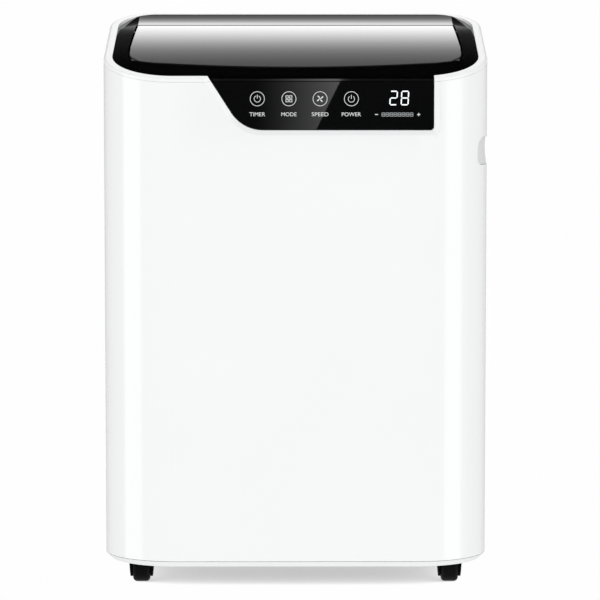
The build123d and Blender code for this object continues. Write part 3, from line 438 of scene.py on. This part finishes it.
def speed_icon(bm, x):
    """Four slim blades that lean the same way round a small hub."""
    centre = Vector((x, ICON_Z))
    for turn in range(BLADES):
        angle = math.radians(360 / BLADES * turn + BLADE_START)
        out = Vector((math.cos(angle), math.sin(angle)))
        side = Vector((-out.y, out.x))
        points = []
        for i in range(BLADE_POINTS):
            t = i / BLADE_POINTS * 2 * math.pi
            reach = BLADE_MIDDLE + BLADE_HALF_LENGTH * math.cos(t)
            lean = BLADE_HALF_WIDTH * math.sin(t) + BLADE_SWEEP * reach - BLADE_SHIFT
            points.append(tuple(centre + out * reach + side * lean))
        plate(bm, points)
    band(bm, (x, ICON_Z), *HUB_R, steps=20)


def make_icons():
    drawings = {"timer": timer_icon, "mode": mode_icon, "speed": speed_icon, "power": power_icon}
    for (name, draw), x in zip(drawings.items(), ICON_X):
        bm = bmesh.new()
        band(bm, (x, ICON_Z), ICON_R, ICON_R - LINE)
        draw(bm, x)
        print_drawing(f"icon_{name}", bm, "print_white")


# ---------------------------------------------------------------- key captions
CAPTION_Z = 0.4356
CAPTION_H = 0.0035
CAPTION_WIDTHS = {"TIMER": 0.0142, "MODE": 0.0138, "SPEED": 0.0151, "POWER": 0.0173}
TYPE_SIZE = 0.01                        # size at which a word is set before it is fitted


def set_word(word):
    """The word as a flat mesh in Blender's own typeface."""
    curve = bpy.data.curves.new(f"caption_{word}", "FONT")
    curve.body = word
    curve.align_x = "CENTER"
    curve.size = TYPE_SIZE
    curve.extrude = PRINT_T / 2
    text = bpy.data.objects.new(f"caption_{word}", curve)
    scene.collection.objects.link(text)
    bpy.context.view_layer.update()
    mesh = bpy.data.meshes.new_from_object(text.evaluated_get(bpy.context.evaluated_depsgraph_get()))
    bpy.data.objects.remove(text)
    return mesh


def make_caption(word, x, width):
    """A word on the glass, fitted to a width and the caption height."""
    name = f"caption_{word.lower()}"
    mesh = set_word(word)
    xs = [v.co.x for v in mesh.vertices]
    ys = [v.co.y for v in mesh.vertices]
    fit_x = width / (max(xs) - min(xs))
    fit_y = CAPTION_H / (max(ys) - min(ys))
    middle = (max(xs) + min(xs)) / 2
    base = min(ys)
    for v in mesh.vertices:
        v.co = Vector((x + (v.co.x - middle) * fit_x,
                       PRINT_BACK - PRINT_T / 2 - v.co.z,
                       CAPTION_Z - CAPTION_H / 2 + (v.co.y - base) * fit_y))
    mesh.name = name
    print_piece(name, mesh, "print_white")


def make_captions():
    for (word, width), x in zip(CAPTION_WIDTHS.items(), ICON_X):
        make_caption(word, x, width)


# ---------------------------------------------------------------- display
SEGMENTS = {"2": "abged", "8": "abcdefg"}
DIGITS = {"2": 0.0888, "8": 0.0990}     # each figure and the x of its middle
DIGIT_Z = 0.4503
DIGIT_W = 0.0062
DIGIT_H = 0.0122
DIGIT_LINE = 0.0011
DIGIT_GAP = 0.00022
DIGIT_LEAN = 0.05

LEVEL_START = 0.0777
LEVEL_END = 0.1068
LEVEL_COUNT = 8
LEVEL_Z = 0.4354
LEVEL_H = 0.0030
LEVEL_FILL = 0.36                       # half of a segment's width, as a share of the pitch
LEVEL_LINE = 0.0006

SIGN_LINE = 0.0007
SIGN_ARM = 0.0014                       # from the plus sign's middle to its ends
SIGN_BREAK = 0.00035                    # half of the bar's thickness, where the upright stops
MINUS_X = (0.0720, 0.0747)
PLUS_X = (0.1101, 0.1115, 0.1129)


def digit(bm, text, x, z, width, height):
    """A seven-segment figure that leans a little to the right."""
    left, right, low, mid, high = -width / 2, width / 2, 0.0, height / 2, height
    spots = {
        "a": ((left, high), (right, high)),
        "b": ((right, mid), (right, high)),
        "c": ((right, low), (right, mid)),
        "d": ((left, low), (right, low)),
        "e": ((left, low), (left, mid)),
        "f": ((left, mid), (left, high)),
        "g": ((left, mid), (right, mid)),
    }

    def place(point):
        return x + point.x + (point.y - height / 2) * DIGIT_LEAN, z - height / 2 + point.y

    for key in SEGMENTS[text]:
        a, b = (Vector(end) for end in spots[key])
        along = (b - a).normalized()
        side = Vector((-along.y, along.x)) * DIGIT_LINE / 2
        inset = along * (DIGIT_LINE / 2 + DIGIT_GAP)
        tip = along * DIGIT_GAP
        shape = [a + tip, a + inset - side, b - inset - side, b - tip, b - inset + side, a + inset + side]
        plate(bm, [place(point) for point in shape])


def draw_digits(bm):
    for text, x in DIGITS.items():
        digit(bm, text, x, DIGIT_Z, DIGIT_W, DIGIT_H)


def draw_level(bm):
    """A row of hollow segments."""
    pitch = (LEVEL_END - LEVEL_START) / LEVEL_COUNT
    low, high = LEVEL_Z - LEVEL_H / 2, LEVEL_Z + LEVEL_H / 2
    for i in range(LEVEL_COUNT):
        x = LEVEL_START + pitch * (i + 0.5)
        left, right = x - pitch * LEVEL_FILL, x + pitch * LEVEL_FILL
        for z in (low, LEVEL_Z, high):
            stroke(bm, (left, z), (right, z), LEVEL_LINE)
        for side in (left, right):
            stroke(bm, (side, low), (side, high), LEVEL_LINE)


def draw_signs(bm):
    """A minus before the row and a plus after it."""
    left, middle, right = PLUS_X
    stroke(bm, (MINUS_X[0], LEVEL_Z), (MINUS_X[1], LEVEL_Z), SIGN_LINE)
    stroke(bm, (left, LEVEL_Z), (right, LEVEL_Z), SIGN_LINE)
    stroke(bm, (middle, LEVEL_Z - SIGN_ARM), (middle, LEVEL_Z - SIGN_BREAK), SIGN_LINE)
    stroke(bm, (middle, LEVEL_Z + SIGN_BREAK), (middle, LEVEL_Z + SIGN_ARM), SIGN_LINE)


def make_display():
    for name, draw, material in (("display_digits", draw_digits, "display_lit"),
                                 ("level_segments", draw_level, "display_dim"),
                                 ("level_signs", draw_signs, "print_white")):
        bm = bmesh.new()
        draw(bm)
        print_drawing(name, bm, material)


# ---------------------------------------------------------------- camera
CAM_LOC = Vector((0.0, -2.5515, 0.4701))
CAM_PITCH = math.radians(4.725)         # below the horizon
CAM_YAW = math.radians(0.096)           # to the right of straight ahead
CAM_LENS = 162.58
CAM_SENSOR = 36.0


def make_camera():
    data = bpy.data.cameras.new("camera")
    data.sensor_width = CAM_SENSOR
    data.lens = CAM_LENS
    data.clip_end = 60.0
    camera = bpy.data.objects.new("camera", data)
    scene.collection.objects.link(camera)
    forward = Vector((math.sin(CAM_YAW) * math.cos(CAM_PITCH),
                      math.cos(CAM_YAW) * math.cos(CAM_PITCH),
                      -math.sin(CAM_PITCH)))
    camera.location = CAM_LOC
    camera.rotation_euler = forward.to_track_quat("-Z", "Y").to_euler()
    scene.camera = camera


# ---------------------------------------------------------------- stage
FLOOR_REACH = 12.0
# the floor's painted shadow: its glow is dimmed by ambient occlusion near the object
SHADOW_REACH = 0.25                     # nothing farther away than this darkens the floor
SHADOW_EDGE = (0.014, 0.14)             # the open share of the sky where the floor is darkest and fully lit
SHADOW_DARK = 0.50
SHADOW_OPEN = 0.99

# where the bright panel shows on the glass, as (x, z): it grows from the left up to a slanted right edge
SHEEN_START = (-0.040, 0.45)
SHEEN_FULL = (0.0405, 0.45)
SHEEN_EDGE_TOP = (0.0412, 0.467)
SHEEN_EDGE_FOOT = (0.0186, 0.4215)
SHEEN_FADE = 1.7

CARD_Y = -1.2
CARD_X = (-0.14, 0.21)
CARD_Z = (0.385, 0.475)
CARD_GLOW = 2.0
CARD_DARK = 0.03


class Glow:
    """Short calls for a node tree that works out one brightness."""

    def __init__(self, owner, emitter, target):
        owner.use_nodes = True
        self.tree = owner.node_tree
        self.tree.nodes.clear()
        output = self.node(target)
        self.emitter = self.node(emitter)
        self.emitter.inputs["Color"].default_value = (1, 1, 1, 1)
        self.link(self.emitter.outputs[0], output.inputs["Surface"])

    def node(self, kind):
        return self.tree.nodes.new("ShaderNode" + kind)

    def link(self, source, target):
        self.tree.links.new(source, target)

    def feed(self, socket, value):
        """Sets a socket to a number, or links another node's output to it."""
        if isinstance(value, (int, float)):
            socket.default_value = value
        else:
            self.link(value, socket)

    def place(self, coordinates):
        """The x, y and z of a shaded point."""
        coords = self.node("TexCoord")
        split = self.node("SeparateXYZ")
        self.link(coords.outputs[coordinates], split.inputs["Vector"])
        return split.outputs

    def math(self, operation, *values, clamp=False):
        made = self.node("Math")
        made.operation = operation
        made.use_clamp = clamp
        for socket, value in zip(made.inputs, values):
            self.feed(socket, value)
        return made.outputs["Value"]

    def fitted(self, value, low, high):
        """Turns low to high into 0 to 1, and stops there at both ends."""
        made = self.node("MapRange")
        made.inputs["From Min"].default_value = low
        made.inputs["From Max"].default_value = high
        self.link(value, made.inputs["Value"])
        return made.outputs["Result"]

    def ramp(self, value, stops):
        """Brightness in straight runs over value, from (value, brightness) pairs."""
        low, high = stops[0][0], stops[-1][0]
        top = max(bright for _, bright in stops)
        made = self.node("ValToRGB")
        made.color_ramp.interpolation = "LINEAR"
        elements = made.color_ramp.elements
        while len(elements) < len(stops):
            elements.new(0.5)
        for element, (place, bright) in zip(elements, stops):
            element.position = (place - low) / (high - low)
            level = bright / top
            element.color = (level, level, level, 1)
        self.link(self.fitted(value, low, high), made.inputs["Fac"])
        return self.math("MULTIPLY", made.outputs["Color"], top)

    def choose(self, factor, first, second):
        """Goes from first to second as the factor goes from 0 to 1."""
        made = self.node("Mix")
        made.data_type = "FLOAT"
        self.link(factor, made.inputs["Factor"])
        self.feed(made.inputs[2], first)
        self.feed(made.inputs[3], second)
        return made.outputs[0]

    def shine(self, strength):
        self.link(strength, self.emitter.inputs["Strength"])


def stage_plane(name, corners, material):
    mesh = bpy.data.meshes.new(name)
    mesh.from_pydata(corners, [], [tuple(range(len(corners)))])
    obj = bpy.data.objects.new(name, mesh)
    scene.collection.objects.link(obj)
    mesh.materials.append(material)
    return obj


def make_floor():
    """An evenly glowing white sweep with a painted shadow: ambient occlusion dims its glow close to the
    object.
    """
    paint = Shader("studio_floor", Roughness=1.0, Specular_IOR_Level=0.0, Base_Color=(0, 0, 0, 1))
    near = paint.node("AmbientOcclusion", samples=64)
    near.inputs["Distance"].default_value = SHADOW_REACH
    # painted shadow: the glow falls from SHADOW_OPEN to SHADOW_DARK as ambient occlusion closes in
    light = paint.spread(near.outputs["AO"], SHADOW_DARK, SHADOW_OPEN, *SHADOW_EDGE)
    paint.link(light, paint.bsdf.inputs["Emission Strength"])
    paint.bsdf.inputs["Emission Color"].default_value = (1, 1, 1, 1)
    far = FLOOR_REACH
    corners = [(-far, -far, 0), (far, -far, 0), (far, far, 0), (-far, far, 0)]
    floor = stage_plane("studio_floor", corners, paint.material)
    floor.visible_glossy = False


def on_card(x, z):
    """The spot on the card that the glass reflects to the camera at (x, z)."""
    further = (GLASS_Y - CARD_Y) / (GLASS_Y - CAM_LOC.y)
    return x + x * further, z + (z - CAM_LOC.z) * further


def make_reflection_card():
    """A dark card seen only in reflections, with one bright panel that fades leftwards."""
    card = bpy.data.materials.new("reflection_card")
    glow = Glow(card, "Emission", "OutputMaterial")
    x, _, z = glow.place("Object")
    start, full = on_card(*SHEEN_START)[0], on_card(*SHEEN_FULL)[0]
    top, foot = on_card(*SHEEN_EDGE_TOP), on_card(*SHEEN_EDGE_FOOT)
    slant = (top[0] - foot[0]) / (top[1] - foot[1])
    rise = glow.math("POWER", glow.fitted(x, start, full), SHEEN_FADE)
    edge = glow.math("MULTIPLY_ADD", z, slant, top[0] - slant * top[1])
    left_of_edge = glow.math("LESS_THAN", glow.math("SUBTRACT", x, edge), 0.0)
    panel = glow.math("MULTIPLY", rise, left_of_edge)
    glow.shine(glow.math("MULTIPLY_ADD", panel, CARD_GLOW, CARD_DARK))
    (left, right), (low, high) = CARD_X, CARD_Z
    corners = [(left, CARD_Y, low), (right, CARD_Y, low), (right, CARD_Y, high), (left, CARD_Y, high)]
    obj = stage_plane("reflection_card", corners, card)
    obj.visible_camera = False
    obj.visible_diffuse = False
    obj.visible_shadow = False
    obj.visible_transmission = False


# ---------------------------------------------------------------- studio surroundings
BACKDROP = 0.99                         # what the camera sees
# brightness that gloss reflects from behind the object, by height in degrees
GLOSS_BEHIND = [(-90, 0.9), (8, 0.45), (22, 1.2), (26.5, 2.3), (28.2, 1.95), (31.4, 1.62), (35.3, 1.0),
                (39.2, 0.52), (43.1, 0.31), (45.6, 0.27), (46.8, 0.012), (52, 0.004), (90, 0.004)]
# how that fades to either side of straight behind, above the height where it starts to
GLOSS_BEHIND_WIDTH = [(0, 1.0), (5.0, 1.0), (8.5, 0.02), (30, 0.02), (60, 0.3), (180, 0.6)]
GLOSS_FADE_HEIGHT = 15.0
# brightness that gloss reflects from in front by compass angle: 0 is straight ahead, negative to the left
GLOSS_AROUND = [(-180, 0.4), (-112, 0.4), (-92, 0.9), (-90, 2.3), (-57, 2.3), (-55, 0.95), (0, 0.95),
                (46, 0.95), (48, 2.3), (78, 2.3), (80, 0.9), (110, 0.4), (180, 0.4)]
GLOSS_AHEAD_HEIGHT = [(-90, 1.0), (30, 1.0), (50, 0.05), (90, 0.02)]
# the change from in front to behind, over depth: slope and value at the middle
GLOSS_TURN = (6.0, 0.3)
# soft light by depth: -1 is straight ahead of the front face, +1 behind
SOFT_DEPTH = [(-1.0, 1.22), (0.0, 1.0), (1.0, 0.8)]
DEGREES = 180 / math.pi


def reflected_light(glow, x, y, z):
    """What gloss reflects: bright and dark bands behind, two tall strips in front."""
    height = glow.math("MULTIPLY", glow.math("ARCSINE", z), DEGREES)
    around = glow.math("MULTIPLY", glow.math("ARCTAN2", x, glow.math("MULTIPLY", y, -1.0)), DEGREES)
    aside = glow.math("ABSOLUTE", glow.math("MULTIPLY", glow.math("ARCTAN2", x, y), DEGREES))
    low_down = glow.math("LESS_THAN", height, GLOSS_FADE_HEIGHT)
    width = glow.math("MAXIMUM", glow.ramp(aside, GLOSS_BEHIND_WIDTH), low_down)
    behind = glow.math("MULTIPLY", glow.ramp(height, GLOSS_BEHIND), width)
    ahead = glow.math("MULTIPLY", glow.ramp(around, GLOSS_AROUND), glow.ramp(height, GLOSS_AHEAD_HEIGHT))
    return glow.choose(glow.math("MULTIPLY_ADD", y, *GLOSS_TURN, clamp=True), ahead, behind)


def make_world():
    """A plain backdrop for the camera, soft light for matt surfaces and bands for gloss."""
    world = bpy.data.worlds.new("studio")
    scene.world = world
    world.cycles.sampling_method = "NONE"
    glow = Glow(world, "Background", "OutputWorld")
    x, y, z = glow.place("Generated")
    rays = glow.node("LightPath").outputs
    reflected = reflected_light(glow, x, y, z)
    lit = glow.choose(rays["Is Glossy Ray"], glow.ramp(y, SOFT_DEPTH), reflected)
    glow.shine(glow.choose(rays["Is Camera Ray"], lit, BACKDROP))


# ---------------------------------------------------------------- the scene
make_materials()
dress_nodes()
make_icons()
make_captions()
make_display()
scene.view_settings.view_transform = "Standard"
scene.view_settings.look = "None"
make_floor()
make_reflection_card()
make_world()
make_camera()
